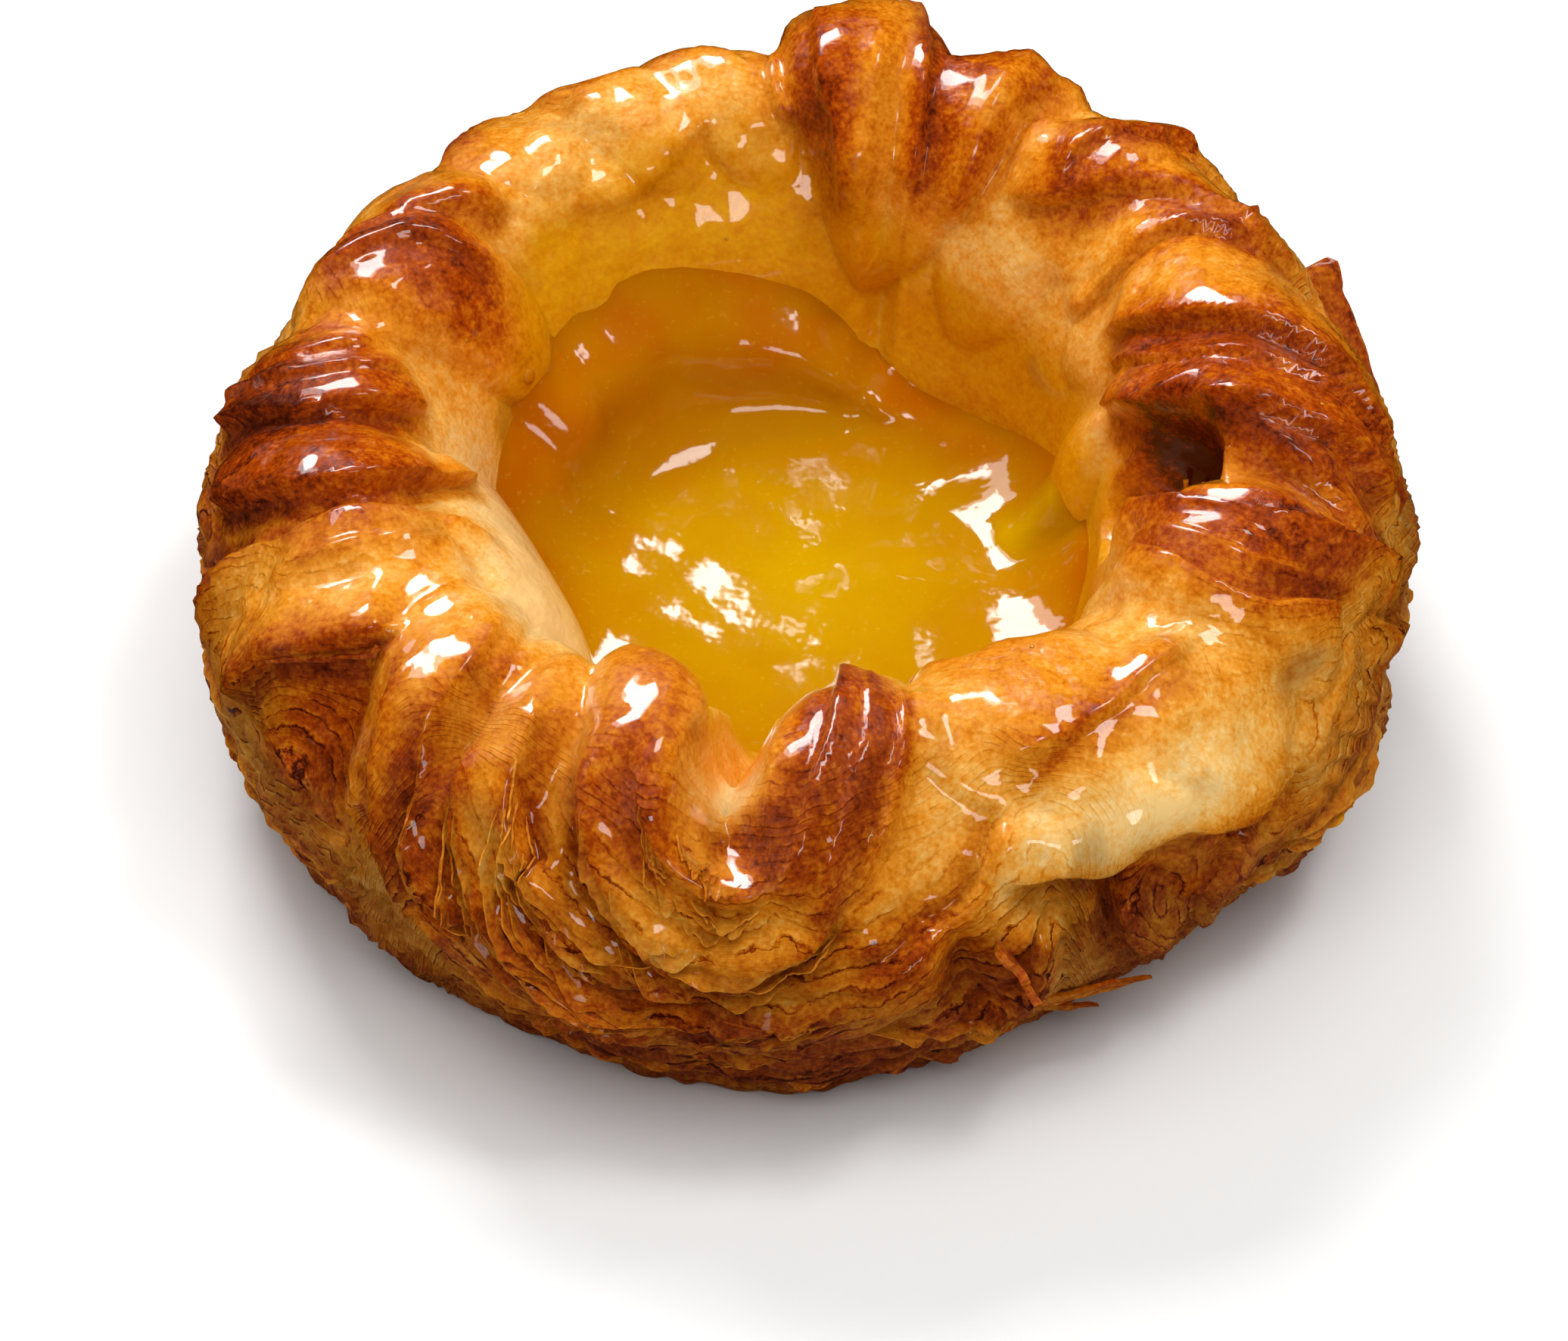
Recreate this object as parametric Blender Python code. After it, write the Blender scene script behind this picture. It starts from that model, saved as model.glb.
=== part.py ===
"""A custard danish: a ring of folded, risen pastry round a deep well, and the custard that fills the well.

Run it with: blender --background --python part.py
Lengths are millimetres until MM turns them to metres. +Z is up, the pastry stands on z = 0, and angles run
anticlockwise from +X. A place on the crust is an angle and a reach: millimetres along the section from the crest,
less than zero down into the well and more than zero down the outer wall.
"""

import math

import bmesh
import bpy
import numpy as np

MM = 0.001

# Driving sizes
RISE = 36.0  # usual height of the crest
BASE_THICK = 7.0  # dough under the custard
WELL_FLOOR = 17.0  # radius of the well's flat floor
GAP = 0.3  # clearance between custard and crust
POOL_LEVEL = 13.2  # height of the custard's flat middle
POOL_RADIUS = 15.5  # where the flat middle ends
POOL_BEND = 5.5  # how much further out the custard would run flat before it turned up the wall
SKIN = 1.0  # thickness of the custard at its edge on the wall
MIDDLE_SHIFT = (0.32, -0.12, 0.0)  # moves the middle of the outline onto the origin

CRUST_COLUMNS = 132
CUSTARD_COLUMNS = 60
CURVE_STEPS = 5  # rings of custard between the flat pool and its edge on the wall

# The section that every direction shares: reach, radius, height. The sizes in DIRECTIONS then stretch it.
WELL_MIDDLE = -50.0
BASE_MIDDLE = 90.0
SECTION = (
    (WELL_MIDDLE, 0.0, BASE_THICK),
    (-34.0, WELL_FLOOR, BASE_THICK + 0.5),
    (-28.0, 22.0, 10.0),
    (-20.0, 25.0, 17.5),
    (-12.0, 28.0, 26.0),
    (-6.0, 32.0, 32.0),
    (0.0, 37.0, RISE),
    (6.0, 43.0, 34.8),
    (12.0, 48.0, 30.5),
    (18.0, 51.3, 24.5),
    (24.0, 52.2, 18.0),
    (30.0, 51.2, 12.0),
    (36.0, 49.0, 6.2),
    (41.0, 47.0, 1.6),
    (43.5, 45.5, 0.0),
    (60.0, 28.0, 0.0),
    (BASE_MIDDLE, 0.0, 0.0),
)
REACHES = np.array([row[0] for row in SECTION])
RIM = (-28.0, 36.0)  # the reaches whose height follows the crest
FOLDS_FADE = (-18.0, -8.0)  # the folds die away between these reaches, down in the well

# Every 30 degrees from +X: radius and height of the crest, and radii of the well's mouth, the waist and the base
DIRECTIONS = (
    (36.5, 33.5, 27.0, 50.5, 46.0),
    (38.0, 35.5, 28.0, 50.5, 46.0),
    (38.5, 36.0, 29.0, 50.5, 46.0),
    (39.0, 36.5, 29.0, 50.5, 46.0),
    (38.5, 35.0, 29.0, 50.5, 46.0),
    (38.5, 34.0, 29.0, 51.0, 46.5),
    (37.5, 33.5, 28.5, 51.8, 47.0),
    (36.5, 33.0, 27.0, 51.5, 46.5),
    (35.0, 32.5, 26.0, 50.0, 45.5),
    (35.0, 31.5, 25.5, 50.5, 45.5),
    (35.5, 32.5, 26.0, 49.5, 42.0),
    (36.0, 32.5, 27.0, 50.0, 43.0),
)

# Folds of the dough: angle, reach, half width in degrees, half length in mm, height in mm, and the slant
# of its spine in degrees for each mm of reach
FOLDS = (
    (344.0, 4.0, 9.0, 16.0, 3.6, 0.3),
    (330.0, 4.0, 8.0, 14.0, 2.8, 0.2),
    (313.0, 13.5, 22.0, 6.5, 2.4, 0.0),
    (299.0, 0.0, 17.0, 12.0, 2.2, 0.0),
    (273.0, 2.0, 9.5, 13.0, 4.2, -0.6),
    (290.0, 22.0, 5.0, 6.0, 2.4, 0.0),
    (250.0, 2.0, 9.5, 13.0, 4.2, 0.7),
    (238.0, 9.0, 6.5, 11.0, 2.2, 0.5),
    (226.0, 8.0, 10.0, 13.0, 3.0, 0.6),
    (216.0, 20.0, 8.0, 9.0, 2.6, 0.3),
    (206.0, 8.0, 9.5, 16.0, 3.0, -0.3),
    (188.0, 4.0, 9.0, 15.0, 2.4, -0.4),
    (172.0, 5.0, 9.5, 14.0, 3.2, -0.3),
    (154.0, 1.0, 10.5, 14.0, 3.2, 0.8),
    (140.0, 3.0, 7.5, 11.0, 2.2, 0.6),
    (116.0, 2.0, 9.0, 9.0, 1.6, 0.5),
    (100.0, 2.0, 9.0, 10.0, 2.4, 0.4),
    (84.5, 1.5, 10.0, 13.0, 6.2, 0.2),
    (70.5, 1.5, 7.5, 11.0, 4.8, -0.2),
    (57.0, -1.0, 9.0, 12.0, 2.4, -0.4),
    (44.0, 3.0, 7.0, 10.0, 3.2, -0.5),
    (31.0, 5.0, 8.0, 13.0, 2.8, -0.9),
    (19.0, 4.0, 9.0, 15.0, 2.8, -0.9),
    (6.0, 2.0, 8.0, 14.0, 3.0, -0.7),
    (62.0, 22.0, 15.0, 12.0, 2.0, -0.8),
    (92.0, 21.0, 15.0, 12.0, 2.0, -0.8),
    (122.0, 22.0, 15.0, 12.0, 2.0, -0.8),
    (168.0, 24.0, 14.0, 10.0, 1.6, 0.4),
    (245.0, 25.0, 17.0, 9.0, 1.6, 0.8),
    (268.0, 22.0, 15.0, 8.0, 1.8, -0.6),
    (332.0, 25.0, 14.0, 10.0, 1.8, 0.4),
    (6.0, 23.0, 14.0, 11.0, 1.8, -0.6),
)
SHOULDER = 0.62  # how round a fold is across: 0.5 is a half circle and 1 is a shallow arch

# Creases pressed into the rim: angle, reach, half width in degrees, half length in mm, depth in mm
CREASES = (
    (261.5, -2.0, 5.5, 13.0, 5.0),
    (353.5, -3.0, 5.5, 14.0, 4.2),
    (77.0, -8.0, 4.5, 14.0, 1.6),
    (197.5, 6.0, 2.5, 9.0, 1.2),
)

HIDDEN_FOOT = -35.0  # the reach where the custard's hidden side meets the well's flat floor

# How far up the wall the custard clings, as a reach, every 30 degrees from +X
CUSTARD_EDGE = (-22.5, -21.5, -20.0, -15.5, -12.5, -15.0, -18.0, -20.0, -20.0, -19.0, -20.0, -21.5)


def clear_scene():
    for thing in list(bpy.data.objects):
        bpy.data.objects.remove(thing)


def around(values, angle):
    """Values given at even steps round the circle, read off smoothly at any angle."""
    values = np.asarray(values, float)
    count = len(values)
    place = angle / math.tau * count % count
    first = np.floor(place).astype(int)
    part = place - first
    before, here, after, beyond = (values[(first + step) % count] for step in (-1, 0, 1, 2))
    bend = 2 * before - 5 * here + 4 * after - beyond
    turn = 3 * (here - after) + beyond - before
    return here + 0.5 * part * (after - before + part * (bend + part * turn))


def section_weights(reach):
    """How much each row of SECTION counts at each reach, on a smooth curve through all the rows."""
    last = len(REACHES) - 1
    low = np.clip(np.searchsorted(REACHES, reach, side="right") - 1, 0, last - 1)
    span = REACHES[low + 1] - REACHES[low]
    part = (reach - REACHES[low]) / span
    rows = np.arange(len(reach))
    weights = np.zeros((len(reach), last + 1))
    weights[rows, low] += 2 * part**3 - 3 * part**2 + 1
    weights[rows, low + 1] += 3 * part**2 - 2 * part**3
    slopes = ((low, part**3 - 2 * part**2 + part), (low + 1, part**3 - part**2))
    for knot, weight in slopes:
        left, right = np.clip(knot - 1, 0, last), np.clip(knot + 1, 0, last)
        share = weight * span / (REACHES[right] - REACHES[left])
        np.add.at(weights, (rows, right), share)
        np.add.at(weights, (rows, left), -share)
    return weights


def plain_section(angle, reach):
    """Radius and height of the ring before its folds, as arrays of reach by angle."""
    crest, rise, mouth, waist, base = (around(column, angle) for column in zip(*DIRECTIONS))
    radius = {
        -28.0: mouth - 5.5,
        -20.0: mouth - 2.8,
        -12.0: mouth,
        -6.0: mouth + 0.45 * (crest - mouth),
        0.0: crest,
        6.0: crest + 0.42 * (waist - crest),
        12.0: crest + 0.74 * (waist - crest),
        18.0: crest + 0.955 * (waist - crest),
        24.0: waist,
        30.0: waist - 0.18 * (waist - base),
        36.0: waist - 0.5 * (waist - base),
        41.0: base + 0.8,
        43.5: base - 0.8,
    }
    radii = np.array([radius.get(row[0], row[1] + 0 * angle) for row in SECTION])
    heights = np.array(
        [row[2] * (rise / RISE if RIM[0] <= row[0] <= RIM[1] else 1 + 0 * rise) for row in SECTION]
    )
    weights = section_weights(reach)
    return weights @ radii, np.maximum(weights @ heights, 0)


def turn_between(angle, middle):
    """Degrees from the direction middle to an angle in radians, the short way round."""
    return (np.degrees(angle) - middle + 180) % 360 - 180


def smooth_step(value, low, high):
    part = np.clip((value - low) / (high - low), 0, 1)
    return part * part * (3 - 2 * part)


def swelling(angle, reach):
    """How far the folds and creases stand off the plain section, in mm, as an array of reach by angle."""
    angle, reach = angle[None, :], reach[:, None]
    high = np.zeros(np.broadcast_shapes(angle.shape, reach.shape))
    for middle, at, half_width, half_length, height, slant in FOLDS:
        across = turn_between(angle, middle + slant * (reach - at)) / half_width
        along = (reach - at) / half_length
        arch = np.clip(1 - across**2 - along**2, 0, 1) ** SHOULDER
        high = np.maximum(high, height * arch)
    for middle, at, half_width, half_length, depth in CREASES:
        across = turn_between(angle, middle) / half_width
        along = (reach - at) / half_length
        high = high - depth * np.clip(1 - across**2, 0, 1) * np.clip(1 - along**2, 0, 1)
    return high * smooth_step(reach, *FOLDS_FADE)


def outward(points):
    """Unit normals of a grid of points, of reach by angle, that point out of the dough."""
    eastward = np.roll(points, -1, axis=1) - np.roll(points, 1, axis=1)
    onward = np.gradient(points, axis=0)
    normal = np.cross(onward, eastward)
    return normal / np.maximum(np.linalg.norm(normal, axis=2, keepdims=True), 1e-9)


def crust_points(angle, reach):
    """The crust's surface, folds and all, as an array of reach by angle by x, y and z."""
    radius, height = plain_section(angle, reach)
    points = np.stack([radius * np.cos(angle), radius * np.sin(angle), height], axis=2)
    points = points + outward(points) * swelling(angle, reach)[:, :, None]
    points[:, :, 2] = np.maximum(points[:, :, 2], 0)
    points[reach >= REACHES[-3], :, 2] = 0
    return points


def balloon(name, columns, place):
    """A sphere whose rings, from its top pole to its bottom one, are laid on the rows of place."""
    rings = len(place) - 1
    shape = bmesh.new()
    bmesh.ops.create_uvsphere(shape, u_segments=columns, v_segments=rings, radius=1)
    for vertex in shape.verts:
        ring = round(math.acos(max(-1, min(1, vertex.co.z))) / math.pi * rings)
        column = round(math.atan2(vertex.co.y, vertex.co.x) / math.tau * columns) % columns
        if ring in (0, rings):
            column = 0
        vertex.co = (place[ring][column] + MIDDLE_SHIFT) * MM
    bmesh.ops.recalc_face_normals(shape, faces=shape.faces)
    mesh = bpy.data.meshes.new(name)
    shape.to_mesh(mesh)
    shape.free()
    mesh.shade_smooth()
    return bpy.data.objects.new(name, mesh)


def build_crust():
    angle = np.arange(CRUST_COLUMNS) / CRUST_COLUMNS * math.tau
    wall = np.arange(-33.0, 42.0, 3.0)
    reach = np.concatenate([[WELL_MIDDLE, -37.0], wall, [REACHES[-3], BASE_MIDDLE]])
    return balloon("pastry", CRUST_COLUMNS, crust_points(angle, reach))


def build_custard():
    """The filling: a flat pool that bends up the wall to its edge, over a hidden side that follows the crust."""
    angle = np.arange(CUSTARD_COLUMNS) / CUSTARD_COLUMNS * math.tau
    edge = around(CUSTARD_EDGE, angle)
    reach = np.arange(WELL_MIDDLE, max(CUSTARD_EDGE) + 2, 0.5)
    crust = crust_points(angle, reach)
    normal = outward(crust)

    def beside_crust(at, gap):
        """Points that stand off the crust by gap, one for each angle, at the reaches at."""
        lifted = crust + gap * normal
        column = np.arange(CUSTARD_COLUMNS)
        place = (at - reach[0]) / (reach[1] - reach[0])
        low = np.floor(place).astype(int)
        part = (place - low)[:, None]
        return (1 - part) * lifted[low, column] + part * lifted[low + 1, column]

    def pool_ring(radius):
        flat = np.full(CUSTARD_COLUMNS, POOL_LEVEL)
        return np.stack([radius * np.cos(angle), radius * np.sin(angle), flat], axis=1)

    top = beside_crust(edge, GAP + SKIN)
    rings = [pool_ring(0), pool_ring(POOL_RADIUS / 2)]
    for share in np.linspace(0, 1, CURVE_STEPS + 1):
        start = (1 - share) ** 2 * pool_ring(POOL_RADIUS)
        bend = 2 * share * (1 - share) * pool_ring(POOL_RADIUS + POOL_BEND)
        rings.append(start + bend + share**2 * top)
    for share in (1.0, 0.75, 0.5, 0.25, 0.0):
        rings.append(beside_crust(HIDDEN_FOOT + share * (edge - HIDDEN_FOOT), GAP))
    middle = np.zeros((CUSTARD_COLUMNS, 3))
    middle[:, 2] = BASE_THICK + GAP
    rings.append(middle)
    return balloon("custard", CUSTARD_COLUMNS, np.array(rings))


def finish(name, red, green, blue, roughness):
    """A material from a colour as it is seen, 0 to 255 a channel."""
    material = bpy.data.materials.new(name)
    material.use_nodes = True
    shader = material.node_tree.nodes["Principled BSDF"]
    linear = [(part / 255) ** 2.2 for part in (red, green, blue)]
    shader.inputs["Base Color"].default_value = (*linear, 1)
    shader.inputs["Roughness"].default_value = roughness
    shader.inputs["Metallic"].default_value = 0
    return material


def main():
    clear_scene()
    group = bpy.data.collections.new("danish_pastry")
    bpy.context.scene.collection.children.link(group)
    crust = build_crust()
    crust.data.materials.append(finish("baked_dough", 201, 128, 46, 0.35))
    custard = build_custard()
    custard.data.materials.append(finish("set_custard", 208, 154, 8, 0.25))
    for piece in (crust, custard):
        group.objects.link(piece)


main()
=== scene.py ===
import math

import bpy
import numpy as np
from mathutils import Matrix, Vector


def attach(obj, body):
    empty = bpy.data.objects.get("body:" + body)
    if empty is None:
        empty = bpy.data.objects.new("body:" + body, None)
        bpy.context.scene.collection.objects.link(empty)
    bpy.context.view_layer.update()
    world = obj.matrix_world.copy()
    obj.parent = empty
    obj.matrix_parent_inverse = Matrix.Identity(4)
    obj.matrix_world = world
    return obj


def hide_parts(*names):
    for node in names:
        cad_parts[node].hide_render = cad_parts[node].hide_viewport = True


# A custard danish. Sizes are in millimetres until they reach a mesh. Angles run anticlockwise from +X, and a
# place on the crust is an angle and a reach: mm from the crest, less than 0 in the well, more down the wall.

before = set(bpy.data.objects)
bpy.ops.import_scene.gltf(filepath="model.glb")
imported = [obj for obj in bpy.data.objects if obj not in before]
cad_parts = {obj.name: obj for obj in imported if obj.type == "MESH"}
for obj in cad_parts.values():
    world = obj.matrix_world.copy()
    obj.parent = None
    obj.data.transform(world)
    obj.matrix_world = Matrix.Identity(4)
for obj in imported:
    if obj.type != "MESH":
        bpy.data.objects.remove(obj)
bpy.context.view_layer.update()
mm = 0.001
print("frame loaded")


def smooth(value, low, high):
    part = np.clip((value - low) / (high - low), 0, 1)
    return part * part * (3 - 2 * part)


def turnFrom(angle, middle):
    return (angle - middle + 180) % 360 - 180  # degrees, the short way round


def between(a, b, c, d, part):  # a smooth step from b to c, where a comes before them and d after
    return b + 0.5 * part * (c - a + part * (2 * a - 5 * b + 4 * c - d + part * (3 * (b - c) + d - a)))


def around(values, angle):  # values at even steps round the circle, read off smoothly at any angle
    values = np.asarray(values, float)
    count = len(values)
    place = angle / 360 * count % count
    first = np.floor(place).astype(int)
    near = [values[(first + step) % count] for step in (-1, 0, 1, 2)]
    return between(*near, place - first)


def curveThrough(points, steps):  # a smooth run of points through the ones given
    points = np.array(points, float)
    padded = np.vstack([2 * points[0] - points[1], points, 2 * points[-1] - points[-2]])
    run = []
    for index in range(len(points) - 1):
        for part in np.arange(steps) / steps:
            run.append(between(*padded[index:index + 4], part))
    run.append(points[-1])
    return np.array(run)


def cloud(points, size, seed=0):  # smooth random values from -1 to 1, about one swing for each size in mm
    place = points / size + 17.3 * (seed + 1)
    cell = np.floor(place)
    part = place - cell
    part = part * part * (3 - 2 * part)
    total = 0
    for corner in range(8):
        step = np.array([corner & 1, corner >> 1 & 1, corner >> 2 & 1])
        key = (cell + step) @ np.array([127.1, 311.7, 74.7])
        value = np.sin(key) * 43758.5453  # any large numbers scatter the corners' values
        share = np.prod(np.where(step == 1, part, 1 - part), axis=-1)
        total = total + share * (2 * (value - np.floor(value)) - 1)
    return total


def outward(points):
    eastward = np.roll(points, -1, axis=1) - np.roll(points, 1, axis=1)
    onward = np.gradient(points, axis=0)
    normal = np.cross(onward, eastward)
    return normal / np.maximum(np.linalg.norm(normal, axis=2, keepdims=True), 1e-9)


def deselect():
    bpy.ops.object.select_all(action="DESELECT")


def choose(pieces):
    deselect()
    for piece in pieces:
        piece.select_set(True)
    bpy.context.view_layer.objects.active = pieces[0]


def faceOutwards(mergeWithin=None):
    bpy.ops.object.mode_set(mode="EDIT")
    bpy.ops.mesh.select_all(action="SELECT")
    if mergeWithin:
        bpy.ops.mesh.remove_doubles(threshold=mergeWithin)
    bpy.ops.mesh.normals_make_consistent(inside=False)
    bpy.ops.object.mode_set(mode="OBJECT")


def placesOf(piece):
    place = np.empty(len(piece.data.vertices) * 3)
    piece.data.vertices.foreach_get("co", place)
    return place.reshape(-1, 3)


def ballMesh(name, columns, grid):  # a sphere whose rings are laid on the rows of grid, top pole first
    deselect()
    rings = len(grid) - 1
    bpy.ops.mesh.primitive_uv_sphere_add(segments=columns, ring_count=rings, radius=1)
    piece = bpy.context.object
    piece.name = piece.data.name = name
    place = placesOf(piece)
    ring = np.rint(np.arccos(np.clip(place[:, 2], -1, 1)) / math.pi * rings).astype(int)
    column = np.rint(np.arctan2(place[:, 1], place[:, 0]) / math.tau * columns).astype(int) % columns
    column[(ring == 0) | (ring == rings)] = 0
    piece.data.vertices.foreach_set("co", (grid[ring, column] * mm).ravel())
    faceOutwards()
    bpy.ops.object.shade_smooth()
    return piece, ring, column


def paint(piece, **layers):
    for name, values in layers.items():
        layer = piece.data.attributes.new(name, "FLOAT", "POINT")
        layer.data.foreach_set("value", np.asarray(values, dtype=np.float32))


crust = {
    "columns": 560,
    "wellMiddle": -50.0,
    "baseMiddle": 90.0,
    "rise": 36.0,
    "baseThick": 7.0,
    "rowStep": 0.46,
    "shift": (0.32, -0.12, 0.0),  # puts the middle of the outline on the origin
    "foldRound": 0.62,  # 0.5 is a half circle, more is a softer top
    "leafStep": 1.9,  # mm from one shelf of the flaky layers to the next
    "leafDepth": 0.8,
    "leafRagged": 0.35,
    "lean": 0.45,  # how far a lip hangs over, for each mm that it stands
    "blisters": ((5.5, 0.6, 9), (2.6, 0.24, 10), (1.3, 0.12, 14)),  # size, height, seed
    "bubble": (311, 19, 11, 6.5),  # a smooth one at the front right: angle, half width, reach, half length
    "nest": (264, 265, 0.68),  # the rings of layers under the notch: angle, their middle, mm for each degree
    "bake": 0.32,  # 0 is pale cream, 1 is nearly burnt
    # every 30 degrees: how far up the wall the custard has stained the dough, as a reach
    "shore": (-13, -13, -11, -5, -3, -9, -22, -27, -21, -14, -15, -15),
    # reach and height of the section at each of its knots
    "section": ((-50, 7), (-34, 7.5), (-28, 10), (-20, 17.5), (-12, 26), (-6, 32), (0, 36), (6, 34.8),
                (12, 30.5), (18, 24.5), (24, 18), (30, 12), (36, 6.2), (41, 1.6), (43.5, 0), (60, 0),
                (90, 0)),
    # every 30 degrees: radius and height of the crest, radii of the well's mouth, the waist and the base
    "directions": (
        (36.5, 33.5, 27, 50.5, 46), (38, 35.5, 28, 50.5, 46), (38.5, 36, 29, 50.5, 46),
        (39, 36.5, 29, 50.5, 46), (38.5, 35, 29, 50.5, 46), (38.5, 34, 29, 50.6, 46.5),
        (37.5, 33.5, 28.5, 50.6, 47), (36.5, 33, 27, 51, 46.5), (35, 32.5, 26, 50, 45.5),
        (35, 31.5, 25.5, 50.5, 45.5), (35.5, 32.5, 26, 49.5, 42), (36, 32.5, 27, 50, 43),
    ),
}
# rounded folds: angle, reach, half width (deg), half length (mm), height (mm), slant (deg for each mm)
crust["lobes"] = (
    (344, 4, 8, 15, 2.4, 0.3), (331, 3, 8, 13, 2, 0.2), (311, 10, 19, 8.5, 3, 0),
    (297, -1, 16, 11, 2.2, 0), (274, 3, 11, 16, 3.8, -0.6), (291, 23, 5, 7, 1.3, 0.3),
    (250, 2, 9.5, 16, 4, 0.6), (238, 9, 7, 17, 1.2, 0.5), (225, 9, 9, 19, 2.2, 0.5),
    (216, 22, 8, 9, 0.9, 0.3), (204, 9, 12, 16, 1.7, -0.3), (213, -2, 8, 9, 1.3, 0.2),
    (188, 6, 11, 14, 1.2, -0.4), (175, 16, 10, 10, 1.2, -0.2), (170, 3, 8, 11, 1.3, -0.3),
    (153, -2, 12, 13, 3, 0.6), (142, 5, 7, 8, 2.2, 0.4), (128, 6, 9, 9, 1.2, 0.3),
    (113, 2, 8, 8, 1.3, 0.5), (100, 2, 9, 10, 1.8, 0.4), (81, 1.5, 11, 17, 5.7, 0.2),
    (67, 1.5, 9, 15, 3.6, -0.4), (55, -7, 11, 11, 1.7, -0.4), (47, 4, 8, 10, 2, -0.5),
    (33, 5, 10, 13, 1.2, -0.9), (17, 3, 13, 17, 1.6, -0.9), (3, 4, 11, 17, 1.6, -0.8),
    (353, 9, 8, 9, 0.6, -0.3), (62, 22, 15, 12, 1.8, -0.8), (92, 21, 15, 12, 1.8, -0.8),
    (122, 22, 15, 12, 1.8, -0.8), (168, 26, 14, 10, 1.4, 0.4), (243, 24, 15, 8, 1, 0.8),
    (276, 21, 8, 5, 1.8, -0.6), (332, 26, 14, 10, 1.6, 0.4), (6, 23, 14, 11, 1.6, -0.6),
    (18, -19, 8, 7, 2.2, 0), (199, -15, 26, 12, 4, 0),
)
# angle, reach, half width (deg), half length (mm), depth (mm), bank (1 is a sharp V, 2 is rounded)
crust["hollows"] = (
    (261.5, -3, 5, 15, 6.5, 1.3), (357.5, -8, 8.5, 7, 9, 1.9), (76, -9, 3.5, 15, 2.2, 1.2),
    (217, 13, 6, 6, 2.6, 1.5), (285, 22, 4, 6, 2.2, 1.2), (304, 21, 6, 7, 2.4, 1.3),
    (189, 12, 5, 7, 0.8, 1.5), (88, -21, 4, 3, 1.6, 1.5), (163, 5, 3, 8, 1.2, 1.3),
    (350, 4, 5, 9, 1.6, 1.4), (61, 1, 3, 9, 1, 1.3), (264, 9.5, 3, 3, 1.4, 1.4),
    (242.5, 10, 3, 6, 1.2, 1.5), (197, 13, 3.5, 7, 1.2, 1.3), (232, 6, 2.5, 12, 1, 1.3),
)
# browner (more than 0) or paler skin, and painted shade that darkens the hole near 0 and the hollows at 216,
# 264, 285 and 305: angle, reach, half width (deg), half length (mm), how much
crust["browning"] = (
    (152, -3, 11, 8, 0.36), (170, 5, 8, 8, 0.25), (182, 5, 9, 9, 0.5), (190, 2, 6, 10, 0.2),
    (184, 18, 10, 9, 0.25), (216, 15, 7, 7, 0.55), (250, 6, 9, 9, 0.22), (264, 9, 4, 3, 0.55),
    (86, -3, 6, 6, 0.45), (70, 0, 6, 7, 0.3), (22, 3, 9, 8, 0.02), (8, 2, 8, 9, 0.08),
    (352, 4, 8, 9, 0.1), (0, -8, 6.5, 6, 1.2), (305, 22, 7, 6, 0.38), (285, 22, 5, 6, 0.35),
    (305, 3, 20, 7, 0.12), (341, 3, 8, 8, 0.3), (275, 2, 7, 8, 0.2), (199, -15, 26, 9, -0.95),
    (305, 13, 14, 5, -0.6), (225, -10, 10, 6, -0.3), (262, 4, 2.6, 4, -0.75), (55, -9, 11, 5, -0.25),
    (224, 11, 7, 8, -0.18), (240, 22, 12, 5, -0.22), (268, 24, 16, 4, -0.12), (300, 30, 8, 5, -0.12),
    (100, -5, 25, 8, -0.1), (222, -6, 13, 4, -0.22), (268, 36, 34, 6, 0.12), (62, 12, 20, 10, 0.1),
    (100, 14, 22, 10, 0.1), (130, 12, 18, 10, 0.12),
)
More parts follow.
